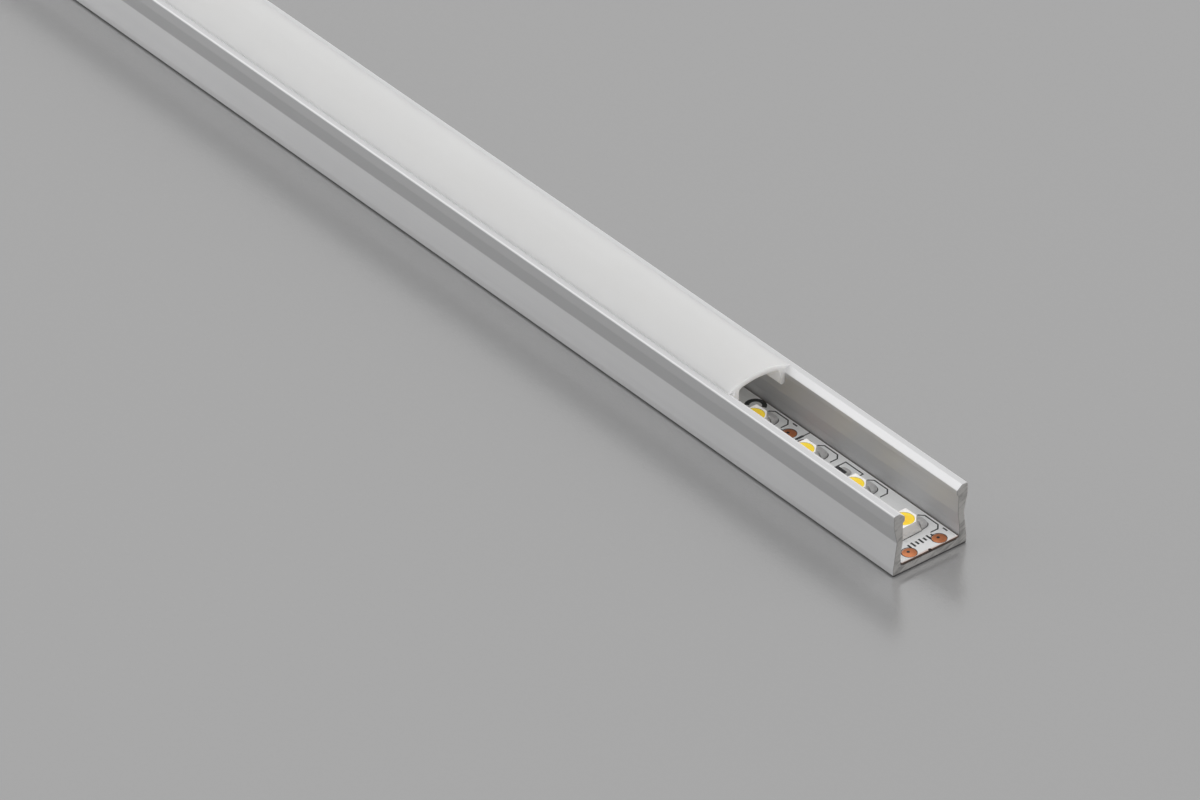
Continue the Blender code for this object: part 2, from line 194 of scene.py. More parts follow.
class LedSettings(bpy.types.PropertyGroup):
    length: size_property("Length of the moulded housing without its leads", 3.2)
    part_height: size_property("Height of the line between the two halves of the mould", 0.8)
    draft: size_property("How far the sides draw in above and below that line", 0.1)
    key_corner: size_property("Size of the corner that marks the polarity", 0.85)
    edge_radius: size_property("Radius of the housing's edges", 0.06)
    cup_top: size_property("Radius of the reflector cup's rim", 1.22)
    cup_floor: size_property("Radius of the reflector cup's floor", 0.95)
    cup_depth: size_property("Depth of the reflector cup", 0.75)
    fill_drop: size_property("How far the resin lies under the rim", 0.05)
    sag: size_property("How far the resin's middle hangs under its edge", 0.06)
    lead_width: size_property("Width of a lead on the housing's side", 1.5)
    lead_height: size_property("Height of a lead on the housing's side", 0.95)
    solder_reach: size_property("How far the solder spreads from the housing", 1.38)
    solder_width: size_property("Half the width of the solder on the board", 1.14)
    solder_height: size_property("Height of the solder at the lead", 0.95)
    housing: colour_property("Colour of the moulded housing", (0.94, 0.92, 0.89))
    resin: colour_property("Colour of the phosphor resin", (1.0, 0.64, 0.027))
    # Strength of the painted glow of the phosphor in its own colour.
    glow: share_property("Daylight that the phosphor gives back in its own colour", 0.22)
    # Strength of the painted glow on the housing's top.
    painted_housing_glow: share_property("Resin's light that the housing's top gives back", 0.22)
    solder: colour_property("Colour of the solder and the leads", (0.65, 0.645, 0.64))
    glaze: colour_property("Colour of the resistors' glazed top", (0.020, 0.020, 0.022))


def math_method(operation):
    """A method that joins a level and another value with a Math node."""
    return lambda first, second: first.join(operation, first, second)


class Level:
    """A number that changes over a surface. Arithmetic on it adds Math nodes."""

    __add__ = __radd__ = math_method("ADD")
    __mul__ = __rmul__ = math_method("MULTIPLY")
    __sub__ = math_method("SUBTRACT")
    __pow__ = math_method("POWER")
    largest = math_method("MAXIMUM")
    smallest = math_method("MINIMUM")

    def __init__(self, finish, socket):
        self.finish = finish
        self.socket = socket

    def join(self, operation, *values):
        made = self.finish.node("ShaderNodeMath", dict(enumerate(values)), operation=operation)
        return Level(self.finish, made.outputs[0])

    def __rsub__(self, other):
        return self.join("SUBTRACT", other, self)

    def __abs__(self):
        return self.join("ABSOLUTE", self)

    def part_after_point(self):
        return self.join("FRACT", self)

    def rising(self, start, end):
        """0 up to start, 1 from end, and a smooth slope between them."""
        values = {"Value": self, "From Min": start, "From Max": end}
        made = self.finish.node("ShaderNodeMapRange", values, interpolation_type="SMOOTHSTEP")
        return Level(self.finish, made.outputs["Result"])


class Finish:
    """A material, or the world, while its nodes are put together round one shader."""

    def __init__(self, name, world=None):
        self.material = world or bpy.data.materials.new(name)
        self.material.use_nodes = True
        self.tree = self.material.node_tree
        self.shader = self.tree.nodes["Background" if world else "Principled BSDF"]
        self.place = self.node("ShaderNodeTexCoord").outputs["Generated" if world else "Object"]

    def feed(self, socket, value):
        if isinstance(value, Level):
            value = value.socket
        if isinstance(value, bpy.types.NodeSocket):
            self.tree.links.new(value, socket)
        elif socket.type == "RGBA" and len(value) == 3:
            socket.default_value = (*value, 1.0)
        else:
            socket.default_value = value

    def node(self, kind, sockets=None, **settings):
        """Adds a node: its settings first, then the values or links of its sockets."""
        made = self.tree.nodes.new(kind)
        for key, value in settings.items():
            setattr(made, key, value)
        for key, value in (sockets or {}).items():
            self.feed(made.inputs[key], value)
        return made

    def axes(self, vector=None):
        """The three parts of a vector, by default of the place on the object."""
        split = self.node("ShaderNodeSeparateXYZ", {0: vector or self.place})
        return [Level(self, output) for output in split.outputs]

    def facing(self):
        """The three parts of the direction that the surface faces."""
        return self.axes(self.node("ShaderNodeNewGeometry").outputs["Normal"])

    def stretched(self, scale, turn=(0.0, 0.0, 0.0)):
        """The place on the object, first turned and then scaled."""
        turned = self.node("ShaderNodeMapping", {"Vector": self.place, "Rotation": turn})
        scaled = self.node("ShaderNodeMapping", {"Vector": turned.outputs["Vector"], "Scale": scale})
        return scaled.outputs["Vector"]

    def noise(self, scale, detail=2.0, roughness=0.5, distortion=0.0, vector=None):
        values = {"Scale": scale, "Detail": detail, "Roughness": roughness, "Distortion": distortion}
        made = self.node("ShaderNodeTexNoise", {"Vector": vector or self.place, **values})
        return Level(self, made.outputs["Fac"])

    def mix(self, share, first, second):
        """A colour between two, first where share is 0."""
        return self.node("ShaderNodeMix", {0: share, 6: first, 7: second}, data_type="RGBA").outputs[2]

    def shades(self, share, colour, first, second):
        """A colour between two shades of one, first where share is 0."""
        return self.mix(share, tinted(colour, first), tinted(colour, second))

    def with_relief(self, height, distance):
        """The material, with bumps whose height, from 0 to 1, is times a distance."""
        bump = self.node("ShaderNodeBump", {"Height": height, "Distance": distance})
        self.set(Normal=bump.outputs["Normal"])
        return self.material

    def set(self, **values):
        """Values and links of the shader's sockets, with _ for each space in a socket's name."""
        for key, value in values.items():
            self.feed(self.shader.inputs[key.replace("_", " ")], value)


def tinted(colour, factor):
    return tuple(min(1.0, part * factor) for part in colour)


def aluminium_finish(sizes):
    """Satin faces with fine lines along the extrusion and slanting saw marks on the cut ends.

    The colour has painted light in it: a painted highlight on the slants and rounded edges of the lips,
    painted shade on their flats and on the walls inside and above the waist, and painted shadow lines along
    the foot and round the cut ends.
    """
    colour, roughness = sizes.colour, sizes.roughness
    finish = Finish("satin_aluminium")
    x, y, z = finish.axes()
    across, ahead, lean = finish.facing()
    lines = finish.stretched((1.0, 0.012, 1.0))
    fine = finish.noise(5200.0, 3.0, 0.6, vector=lines)
    broad = finish.noise(650.0, vector=lines)
    cloud = finish.noise(90.0, 3.0)
    along = abs(ahead)
    cut = along.rising(0.75, 0.95)
    # Painted shade: a dark band on the broken edges round the cut ends.
    edge = along.rising(0.10, 0.30) * (1.0 - along.rising(0.90, 0.97))
    slanted = finish.stretched((1.0, 1.0, 0.18), (0.0, math.radians(-64.0), 0.0))
    saw = finish.noise(2000.0, 3.0, 0.6, 0.25, slanted) * 0.7 + finish.noise(900.0, 3.0, 0.6) * 0.3
    worn = saw.rising(0.34, 0.56)
    # Painted shadow: a dark line along the foot, standing for the contact shade where the channel meets the
    # floor.
    foot = (1.0 - z.rising(0.16 * MM, 0.27 * MM)) * lean.rising(-0.95, -0.80)
    # Painted light by facing: a painted highlight on the lips' slants and rounded edges, painted shade on the
    # flats and on the walls inside and above the waist.
    flat = lean.rising(0.92, 0.99)
    painted_highlight = lean.rising(0.35, 0.70) * (1.0 - flat)
    inside = (x * across * -1.0).rising(1.0 * MM, 3.0 * MM)
    above = z.rising(sizes.waist_height - 0.1 * MM, sizes.waist_height + 0.1 * MM)
    painted_wall_shade = inside.largest(above) * (1.0 - lean.rising(0.05, 0.30))
    drawn = finish.shades(broad * 0.6 + cloud * 0.4, colour, 0.94, 1.05)
    # Mixes the painted shade and painted highlight into the drawn colour.
    for share, shade in ((flat * 0.5, 0.87), (painted_highlight, 1.12), (painted_wall_shade, 0.86)):
        drawn = finish.mix(share, drawn, tinted(colour, shade))
    sawn = finish.shades(worn, sizes.cut_colour, 0.62, 1.10)
    # Painted shadow lines on the broken cut edges and along the foot.
    dark = (edge * 0.6).largest(foot * 0.92)
    finish.set(
        Base_Color=finish.mix(dark, finish.mix(cut, drawn, sawn), tinted(colour, 0.1)),
        Metallic=1.0,
        Roughness=(roughness - 0.05 + fine * 0.10) * (1.0 - cut) + cut * (0.52 + worn * 0.16),
    )
    return finish.with_relief((fine * 0.5 + broad * 0.5) * (1.0 - cut) + saw * cut * 5.0, 0.004 * MM)


def cover_finish(sizes):
    """Milky plastic with a painted glow where it faces in or down, standing for light that comes through it,
    and brighter on its cut ends.
    """
    finish = Finish("milky_diffuser")
    drawn = finish.noise(700.0, vector=finish.stretched((1.0, 0.02, 1.0)))
    grain = finish.noise(9000.0)
    across, ahead, lean = finish.facing()
    cut = abs(ahead).rising(0.75, 0.95)
    turned_in = 1.0 - lean.rising(-0.1, 0.5)
    body = finish.shades(drawn, sizes.colour, 0.985, 1.015)
    finish.set(
        Base_Color=finish.mix(cut, body, tinted(sizes.colour, 1.12)),
        # Painted glow: emission on the faces turned in or down, less on the cut ends.
        Emission_Color=finish.mix(turned_in * (1.0 - cut * 0.7), BLACK, sizes.colour),
        Emission_Strength=sizes.glow,
        Roughness=sizes.roughness - 0.04 + grain * 0.08,
        Subsurface_Weight=1.0,
        Subsurface_Radius=(1.0, 1.0, 1.0),
        Subsurface_Scale=2.5 * MM,
        IOR=1.49,
    )
    return finish.with_relief(drawn * 0.6 + grain * 0.4, 0.002 * MM)


def coating_finish(sizes):
    """White coating over copper tracks, browned at the cut ends, with brown cut edges and a painted shadow
    line along the top of its long sides.
    """
    finish = Finish("white_coating")
    x, y, z = finish.axes()
    grain = finish.noise(5200.0, 3.0)
    cloud = finish.noise(420.0, 3.0)
    side = abs(x)
    track = side.rising(2.86 * MM, 2.94 * MM) * (1.0 - side.rising(3.72 * MM, 3.80 * MM))
    ends = (y - OPEN_END).smallest(FAR_END - y)
    scorch = 1.0 - (ends + (cloud - 0.5) * 0.3 * MM).rising(0.0, 0.30 * MM)
    # Cut edges in their brown, plus a painted shadow line on the top face close to the long sides.
    wall = (1.0 - abs(finish.facing()[2]).rising(0.3, 0.7)).largest(side.rising(3.92 * MM, 3.96 * MM))
    plain = finish.shades(grain * 0.5 + cloud * 0.5, sizes.coating, 0.93, 1.04)
    tracked = finish.mix(track * 0.3, plain, tinted(sizes.coating, 0.90))
    browned = finish.mix(scorch * 0.7, tracked, sizes.scorched)
    finish.set(
        Base_Color=finish.mix(wall, browned, finish.shades(grain, sizes.edge, 1.0, 2.2)),
        Roughness=0.36 + grain * 0.10 + wall * 0.3,
    )
    return finish.with_relief(grain * 0.25 + cloud * 0.25 + track, 0.012 * MM)


def tape_finish(sizes):
    finish = Finish("tape_film")
    strands = finish.noise(2600.0, 4.0, 0.6, vector=finish.stretched((1.0, 0.2, 1.0)))
    finish.set(Base_Color=finish.shades(strands, sizes.tape, 0.7, 1.6), Roughness=0.62 + strands * 0.2)
    return finish.with_relief(strands, 0.01 * MM)


def copper_finish(sizes):
    finish = Finish("bare_copper")
    rubbed = finish.noise(1500.0, 4.0, 0.6)
    stain = finish.noise(700.0, 3.0, 0.6, 0.8).rising(0.38, 0.66)
    bright = finish.shades(rubbed, sizes.copper, 0.92, 1.12)
    finish.set(
        Base_Color=finish.mix(stain * 0.4, bright, tinted(sizes.copper, 0.6)),
        Metallic=1.0,
        Roughness=0.30 + rubbed * 0.16 + stain * 0.10,
    )
    return finish.with_relief(rubbed, 0.006 * MM)


# Dark ink for the print, also used for the painted shadow lines round the housings' feet and the solder
# lobes.
def ink_and_painted_shadow_finish(sizes):
    finish = Finish("printed_ink")
    faded = finish.noise(3400.0, 4.0, 0.65).rising(0.42, 0.80)
    finish.set(Base_Color=finish.shades(faded, sizes.ink, 1.0, 4.0), Roughness=0.42 + faded * 0.2)
    return finish.with_relief(faded, 0.003 * MM)


def solder_finish(colour, shade=0.0):
    """Dull tinned metal, with a share of painted shade where it falls away steeply."""
    finish = Finish("tinned_solder")
    # Painted shade where the surface falls away steeply.
    steep = 1.0 - finish.facing()[2].rising(0.05, 0.45)
    frost = finish.noise(2600.0, 4.0, 0.6)
    pits = finish.noise(900.0, distortion=0.6).rising(0.45, 0.75)
    finish.set(
        Base_Color=finish.mix(steep * shade, finish.shades(frost, colour, 0.74, 1.18), tinted(colour, 0.35)),
        Metallic=0.3,
        Roughness=0.30 + frost * 0.16 + pits * 0.12,
    )
    return finish.with_relief(frost * 0.6 + pits * 0.4, 0.012 * MM)


def housing_finish(sizes):
    """Pale moulding with painted shade on its sides and a painted glow on its top face, which stands for the
    light that the resin gives back.
    """
    colour = sizes.housing
    finish = Finish("moulded_housing")
    grain = finish.noise(6500.0, 3.0)
    flow = finish.noise(800.0, distortion=0.4)
    top = finish.facing()[2].rising(0.85, 0.97)
    plain = finish.shades(grain * 0.4 + flow * 0.6, colour, 0.95, 1.04)
    finish.set(
        # Painted shade: the housing's sides are darker than its top.
        Base_Color=finish.mix(1.0 - top, plain, tinted(colour, 0.72)),
        Roughness=0.34 + grain * 0.12,
        # Painted glow on the top face.
        Emission_Color=finish.mix(top, BLACK, tinted(colour, 1.05)),
        Emission_Strength=sizes.painted_housing_glow,
        Subsurface_Weight=0.25,
        Subsurface_Radius=(1.0, 0.95, 0.85),
        Subsurface_Scale=0.25 * MM,
    )
    return finish.with_relief(grain, 0.004 * MM)


def resin_finish(sizes):
    """Phosphor in clear resin: orange in the middle of each cup and yellow at its rim, with a painted glow in
    the same colours.
    """
    red, green, blue = sizes.resin
    finish = Finish("phosphor_resin")
    x, y, z = finish.axes()
    pitches = (y - LED_PLACES[0].y) * (1.0 / LED_PITCH)
    along = ((pitches + 0.5).part_after_point() - 0.5) * LED_PITCH
    outwards = ((x * x + along * along) ** 0.5) * (1.0 / sizes.cup_top)
    grain = finish.noise(9000.0, 3.0, 0.65)
    spread = outwards + (finish.noise(520.0) - 0.5) * 0.7
    centre = (red, green * 0.95, blue * 1.1)
    edge = (red * 0.95, green * 1.10, blue * 1.3)
    body = finish.mix(spread.rising(0.15, 0.95), centre, edge)
    finish.set(
        Base_Color=finish.mix(grain * 0.25, body, tinted(sizes.resin, 0.90)),
        # Painted glow in the resin's own colours.
        Emission_Color=body,
        Emission_Strength=sizes.glow,
        Roughness=0.16 + grain * 0.10,
        Coat_Weight=0.4,
        Coat_Roughness=0.08,
        Subsurface_Weight=0.2,
        Subsurface_Radius=(1.0, 0.6, 0.1),
        Subsurface_Scale=0.2 * MM,
    )
    return finish.with_relief(grain, 0.004 * MM)


def chip_finish(colour):
    """Glazed top and pale ceramic sides."""
    finish = Finish("chip_ceramic")
    speckle = finish.noise(4200.0, 3.0)
    top = finish.facing()[2].rising(0.5, 0.8)
    ceramic = finish.mix(speckle, (0.52, 0.52, 0.50), (0.64, 0.64, 0.62))
    finish.set(
        Base_Color=finish.mix(top, ceramic, finish.shades(speckle, colour, 1.0, 1.8)),
        Roughness=0.5 - top * 0.26 + speckle * 0.08,
    )
    return finish.with_relief(speckle, 0.003 * MM)


def add_materials(item, *materials):
    item.data.materials.clear()
    for material in materials:
        item.data.materials.append(material)


def linked(name, data):
    """A new object in the scene."""
    item = bpy.data.objects.new(name, data)
    bpy.context.scene.collection.objects.link(item)
    return item


def finished_piece(name, mesh, materials, body, replaced=()):
    """Turns a bmesh into a smooth shaded object that rides on a body of the frame."""
    data = bpy.data.meshes.new(name)
    mesh.to_mesh(data)
    mesh.free()
    data.shade_smooth()
    data.set_sharp_from_angle(angle=SMOOTH_LIMIT)
    piece = linked(name, data)
    add_materials(piece, *materials)
    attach(piece, body)
    if replaced:
        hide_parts(*replaced)
    return piece


def weigh_normals(piece):
    """Keeps flat faces flat beside their rounded edges."""
    modifier = piece.modifiers.new("even_shading", "WEIGHTED_NORMAL")
    modifier.keep_sharp = True
    modifier.weight = 80


def mirrored(half):
    return half + [(-x, z, radius) for x, z, radius in reversed(half)]


def of_type(items, kind):
    return [item for item in items if isinstance(item, kind)]


def bevel_edges(mesh, edges, width, segments):
    """Rounds edges, or chamfers them where there is one segment."""
    bmesh.ops.bevel(
        mesh, geom=edges, offset=width, affect="EDGES", segments=segments, profile=0.5, material=-1
    )


def draw_out(mesh, step):
    """Draws the faces of a flat mesh out along a vector into closed shapes."""
    pushed = bmesh.ops.extrude_face_region(mesh, geom=mesh.faces[:])
    bmesh.ops.translate(mesh, vec=step, verts=of_type(pushed["geom"], bmesh.types.BMVert))
    bmesh.ops.recalc_face_normals(mesh, faces=mesh.faces)


def extruded_section(corners, start, end):
    """A bar along Y with the section that (x, z, radius) corners give."""
    bar = bmesh.new()
    bar.faces.new([bar.verts.new((x, start, z)) for x, z, radius in corners])
    draw_out(bar, (0.0, end - start, 0.0))
    for index, (x, z, radius) in enumerate(corners):
        if radius > 0.0:
            corner = Vector((x, z))
            before = Vector(corners[index - 1][:2]) - corner
            after = Vector(corners[(index + 1) % len(corners)][:2]) - corner
            setback = radius / math.tan(before.angle(after) / 2)
            most = 0.49 * min(before.length, after.length)
            bevel_edges(bar, [long_edge(bar, corner)], min(setback, most), LONG_EDGE_STEPS)
    return bar


def long_edge(bar, spot):
    """The edge along Y at one corner of a section."""
    for edge in bar.edges:
        first, second = (vertex.co for vertex in edge.verts)
        if abs(first.y - second.y) > MM and (Vector(first.xz) - spot).length < NEARLY:
            return edge
    raise RuntimeError(f"no long edge at {spot}")


def break_cut_edges(bar, width, ends):
    """A small rounded edge round each cut end."""
    rims = [
        edge for edge in bar.edges
        if any(all(abs(vertex.co.y - end) < NEARLY for vertex in edge.verts) for end in ends)
        and edge.calc_face_angle(0.0) > math.radians(60.0)
    ]
    bevel_edges(bar, rims, width, 2)


def channel_corners(sizes):
    """Base, waisted walls and slanted lips of the extrusion."""
    half_floor = HALF_WIDTH - sizes.foot_wall
    half_waist = HALF_WIDTH - sizes.waist_depth
    lip_inner = HALF_WIDTH - sizes.lip_reach
    recess_wall = lip_inner + sizes.recess
    lip_under = CHANNEL_TOP - sizes.lip_drop - sizes.lip_face
    foot, shoulder, waist = 0.26 * MM, 1.6 * MM, 0.2 * MM
    top, edge, inner = 0.22 * MM, 0.14 * MM, 0.12 * MM
    return mirrored([
        (HALF_WIDTH, 0.0, foot),
        (HALF_WIDTH, sizes.foot_band, shoulder),
        (half_waist, sizes.waist_height, waist),
        (HALF_WIDTH, CHANNEL_TOP - sizes.shoulder_drop, shoulder),
        (HALF_WIDTH, CHANNEL_TOP, top),
        (HALF_WIDTH - sizes.lip_flat, CHANNEL_TOP, edge),
        (lip_inner, CHANNEL_TOP - sizes.lip_drop, edge),
        (lip_inner, lip_under, inner),
        (recess_wall, lip_under - sizes.recess, inner),
        (recess_wall, sizes.waist_height + sizes.recess_floor, shoulder),
        (half_waist - sizes.waist_wall, sizes.waist_height, waist),
        (half_floor, (sizes.base + sizes.waist_height) / 2, shoulder),
        (half_floor, sizes.base, inner),
    ])


def arch_height(x, half_chord, rise):
    """Height over its chord of a circular arc at the distance x from its middle."""
    radius = (half_chord ** 2 + rise ** 2) / (2 * rise)
    return math.sqrt(max(0.0, radius ** 2 - x ** 2)) - (radius - rise)


def cover_bar(sizes):
    """Flat-topped bar with flanges and legs, then bent up into the arch."""
    tip = COVER_HIGH.x
    flange_top = COVER_HIGH.z - sizes.rise
    flange_bottom = flange_top - sizes.flange
    leg_outer = tip - sizes.leg_reach
    leg_inner = leg_outer - sizes.leg
    root = flange_top - sizes.thickness
    corners = mirrored([
        (tip, flange_top, sizes.flange * 0.7),
        (tip, flange_bottom, 0.0),
        (leg_outer, flange_bottom, 0.0),
        (leg_outer - sizes.leg_taper, COVER_LOW.z, sizes.leg / 2),
        (leg_inner + sizes.leg_taper, COVER_LOW.z, sizes.leg / 2),
        (leg_inner, root, sizes.root_radius),
    ])
    bar = extruded_section(corners, COVER_LOW.y, COVER_HIGH.y)
    spans = [edge for edge in bar.edges if edge_spans_middle(edge)]
    bmesh.ops.subdivide_edges(bar, edges=spans, cuts=40)
    bend_from = root - sizes.root_radius - NEARLY
    for vertex in bar.verts:
        inside = abs(vertex.co.x) < leg_inner + NEARLY and vertex.co.z > bend_from
        if inside or vertex.co.z > flange_top - NEARLY:
            vertex.co.z += arch_height(vertex.co.x, tip, sizes.rise)
    break_cut_edges(bar, sizes.deburr, (COVER_LOW.y, COVER_HIGH.y))
    return bar


def edge_spans_middle(edge):
    """Whether an edge runs across the section from one side to the other."""
    first, second = (vertex.co for vertex in edge.verts)
    return first.x * second.x < 0 and abs(first.y - second.y) < NEARLY


def stamped(mesh, stamp, places, turn=0.0):
    """Adds a copy of a finished shape at each place, turned about the upright axis."""
    data = bpy.data.meshes.new("stamp")
    stamp.to_mesh(data)
    for place in places:
        first = len(mesh.verts)
        mesh.from_mesh(data)
        mesh.verts.ensure_lookup_table()
        matrix = Matrix.Translation(place) @ Matrix.Rotation(turn, 4, "Z")
        bmesh.ops.transform(mesh, matrix=matrix, verts=mesh.verts[first:])
    bpy.data.meshes.remove(data)


def stamped_at_leds(mesh, stamp, height):
    """Adds a copy of a finished shape at every LED, turned as the LED is."""
    for place, turn in zip(LED_PLACES, LED_TURNS):
        stamped(mesh, stamp, [Vector((place.x, place.y, height))], turn)


def round_loop(mesh, radius, centre, steps):
    """A circle of edges."""
    made = bmesh.ops.create_circle(mesh, segments=steps, radius=radius, matrix=Matrix.Translation(centre))
    return list(dict.fromkeys(edge for vertex in made["verts"] for edge in vertex.link_edges))


def box_on_origin(size):
    """A box that stands on the origin."""
    mesh = bmesh.new()
    bmesh.ops.create_cube(mesh, size=1.0)
    bmesh.ops.scale(mesh, vec=size, verts=mesh.verts)
    bmesh.ops.translate(mesh, vec=(0.0, 0.0, size[2] / 2), verts=mesh.verts)
    return mesh


def rounded_box(size, radius, segments):
    """A box on the origin with all its edges rounded."""
    mesh = box_on_origin(size)
    bevel_edges(mesh, mesh.edges[:], radius, segments)
    return mesh


def turned_shape(profile, steps):
    """A solid turned round the upright axis from (radius, height) points that start and end on it."""
    mesh = bmesh.new()
    points = [mesh.verts.new((radius, 0.0, height)) for radius, height in profile]
    edges = [mesh.edges.new(pair) for pair in zip(points, points[1:])]
    bmesh.ops.spin(
        mesh, geom=points + edges, cent=(0, 0, 0), axis=(0, 0, 1), angle=math.tau, steps=steps, use_merge=True
    )
    bmesh.ops.remove_doubles(mesh, verts=mesh.verts, dist=WELD_REACH)
    bmesh.ops.recalc_face_normals(mesh, faces=mesh.faces)
    return mesh


def pad_mesh(sizes):
    """A copper pad with a rounded rim and a hole behind its middle."""
    mesh = bmesh.new()
    radius, lift, rim = sizes.pad_radius, sizes.copper_lift, 0.02 * MM
    outline = ((radius, 0.0), (radius - rim / 3, lift * 0.7), (radius - rim, lift))
    low, slope, top = (round_loop(mesh, reach, (0.0, 0.0, height), 40) for reach, height in outline)
    hole_top, hole_low = (
        round_loop(mesh, sizes.pad_hole, (0.0, sizes.hole_shift, height), 24) for height in (lift, 0.0)
    )
    for pair in ((low, slope), (slope, top), (hole_top, hole_low)):
        bmesh.ops.bridge_loops(mesh, edges=pair[0] + pair[1])
    for pair in ((top, hole_top), (low, hole_low)):
        bmesh.ops.triangle_fill(mesh, use_beauty=True, edges=pair[0] + pair[1], normal=(0, 0, 1))
    bmesh.ops.recalc_face_normals(mesh, faces=mesh.faces)
    return mesh


def pad_places(sizes):
    """The pads on both sides of each cut line that lie on the board."""
    places = []
    for cut in cut_lines(sizes):
        for along in (cut - sizes.pad_from_cut, cut + sizes.pad_from_cut):
            if OPEN_END + sizes.pad_radius < along < FAR_END - sizes.pad_radius:
                places += [Vector((side * sizes.pad_side, along, BOARD_TOP)) for side in (-1.0, 1.0)]
    return places


def cut_lines(sizes):
    """Where the strip may be cut, the lines just off both ends among them."""
    first = OPEN_END + sizes.cut_from_end
    return [first + index * SEGMENT_LENGTH for index in range(-1, len(RESISTOR_NODES))]


def printed_bar(mesh, low, high):
    """A flat oblong of ink between two corners."""
    made = bmesh.ops.create_grid(mesh, x_segments=1, y_segments=1, size=0.5)
    middle = ((low[0] + high[0]) / 2, (low[1] + high[1]) / 2, BOARD_TOP)
    bmesh.ops.scale(mesh, vec=(high[0] - low[0], high[1] - low[1], 1.0), verts=made["verts"])
    bmesh.ops.translate(mesh, vec=middle, verts=made["verts"])


def printed_plus(mesh, centre, size):
    """A plus sign: a grid of nine squares without its corners."""
    made = bmesh.ops.create_grid(mesh, x_segments=3, y_segments=3, size=size / 2)
    faces = list(dict.fromkeys(face for vertex in made["verts"] for face in vertex.link_faces))
    corners = [face for face in faces if min(map(abs, face.calc_center_median().xy)) > size / 6]
    kept = [face for face in faces if face not in corners]
    bmesh.ops.delete(mesh, geom=corners, context="FACES")
    verts = list(dict.fromkeys(vertex for face in kept for vertex in face.verts))
    bmesh.ops.translate(mesh, vec=(*centre, BOARD_TOP), verts=verts)


def printed_outline(mesh, points, width, left_out=()):
    """A line of ink inside a closed outline, without the sides whose numbers are left out."""
    face = mesh.faces.new([mesh.verts.new((x, y, BOARD_TOP)) for x, y in points])
    face.normal_update()
    inset = bmesh.ops.inset_region(
        mesh, faces=[face], thickness=width, use_even_offset=True, use_boundary=True
    )
    dropped = [face]
    for number in left_out:
        middle = (Vector(points[number]) + Vector(points[(number + 1) % len(points)])) / 2
        dropped.append(min(inset["faces"], key=lambda item: (item.calc_center_median().xy - middle).length))
    bmesh.ops.delete(mesh, geom=dropped, context="FACES")


def printed_ring(mesh, centre, radius, width, start=0.0, angle=math.tau):
    """A whole ring of ink, or an arc of it."""
    ends = [
        mesh.verts.new((centre[0] + reach * math.cos(start), centre[1] + reach * math.sin(start), BOARD_TOP))
        for reach in (radius - width / 2, radius + width / 2)
    ]
    bmesh.ops.spin(
        mesh,
        geom=ends + [mesh.edges.new(ends)],
        cent=(*centre, BOARD_TOP),
        axis=(0, 0, 1),
        angle=angle,
        steps=max(8, round(40 * angle / math.tau)),
        use_merge=angle >= math.tau,
    )


def print_led_outline(mesh, place, width):
    """A bracket on each side of an LED, open towards it."""
    bracket = [(2.0, -2.13), (3.13, -2.13), (3.70, -1.50), (3.70, 0.73), (3.16, 1.26), (2.0, 1.26)]
    open_side = len(bracket) - 1
    for side in (1.0, -1.0):
        points = [(side * x * MM, place.y + y * MM) for x, y in bracket]
        printed_outline(mesh, points if side > 0 else points[::-1], width, (open_side,))


def print_painted_foot_shadow(mesh, place, foot, turn):
    """A painted shadow line of dark ink round a housing's foot."""
    reach = foot - Vector((0.06, 0.06)) * MM
    corners = [Vector((x * reach.x, y * reach.y)) for x, y in ((-1, -1), (1, -1), (1, 1), (-1, 1))]
    for corner in corners:
        corner.rotate(Matrix.Rotation(turn, 2))
    printed_outline(mesh, [(place.x + corner.x, place.y + corner.y) for corner in corners], 0.3 * MM)


def print_resistor_frame(mesh, node, width):
    """An oblong line round a resistor and its solder."""
    low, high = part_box(node)
    left, right = low.x - 1.65 * MM, high.x + 1.65 * MM
    near, far = low.y - 0.8 * MM, high.y + 0.65 * MM
    printed_outline(mesh, [(left, near), (right, near), (right, far), (left, far)], width)


def print_pad_rings(mesh, sizes, place):
    """A thin line round a pad and a dark rim in its hole."""
    printed_ring(mesh, (place.x, place.y + 0.05 * MM), sizes.pad_radius + 0.04 * MM, 0.1 * MM)
    hole = (place.x, place.y + sizes.hole_shift)
    printed_ring(mesh, hole, sizes.pad_hole * 0.49, sizes.pad_hole * 0.9)


def print_segment(mesh, sizes, cut):
    """Signs, ticks and the cut line at one end of a segment."""
    thin, thick = sizes.print_width / 2, 0.16 * MM
    middle = cut + sizes.sign_from_cut
    printed_bar(mesh, (3.56 * MM, middle - 0.35 * MM), (3.75 * MM, middle + 0.35 * MM))
    printed_plus(mesh, (-3.65 * MM, middle), 0.66 * MM)
    for index in range(7):
        across = (-1.36 + index * 0.54) * MM
        reach = 0.42 * MM if index % 2 else 0.3 * MM
        printed_bar(mesh, (across - 0.12 * MM, middle - reach), (across + 0.12 * MM, middle + reach))
    if cut < OPEN_END:
        return
    for side in (-1.0, 1.0):
        for inner, outer, half in ((3.02, 3.97, thin), (1.98, 3.0, thick)):
            low, high = sorted((side * inner * MM, side * outer * MM))
            printed_bar(mesh, (low, cut - half), (high, cut + half))
    printed_bar(mesh, (-1.96 * MM, cut - thin), (1.96 * MM, cut + thin))


def cut_by_plane(mesh, place, normal, clear=False):
    """Splits a mesh at a plane, may clear what lies behind it, and gives the edges on the plane."""
    everything = mesh.verts[:] + mesh.edges[:] + mesh.faces[:]
    cut = bmesh.ops.bisect_plane(mesh, geom=everything, plane_co=place, plane_no=normal, clear_inner=clear)
    return of_type(cut["geom_cut"], bmesh.types.BMEdge)


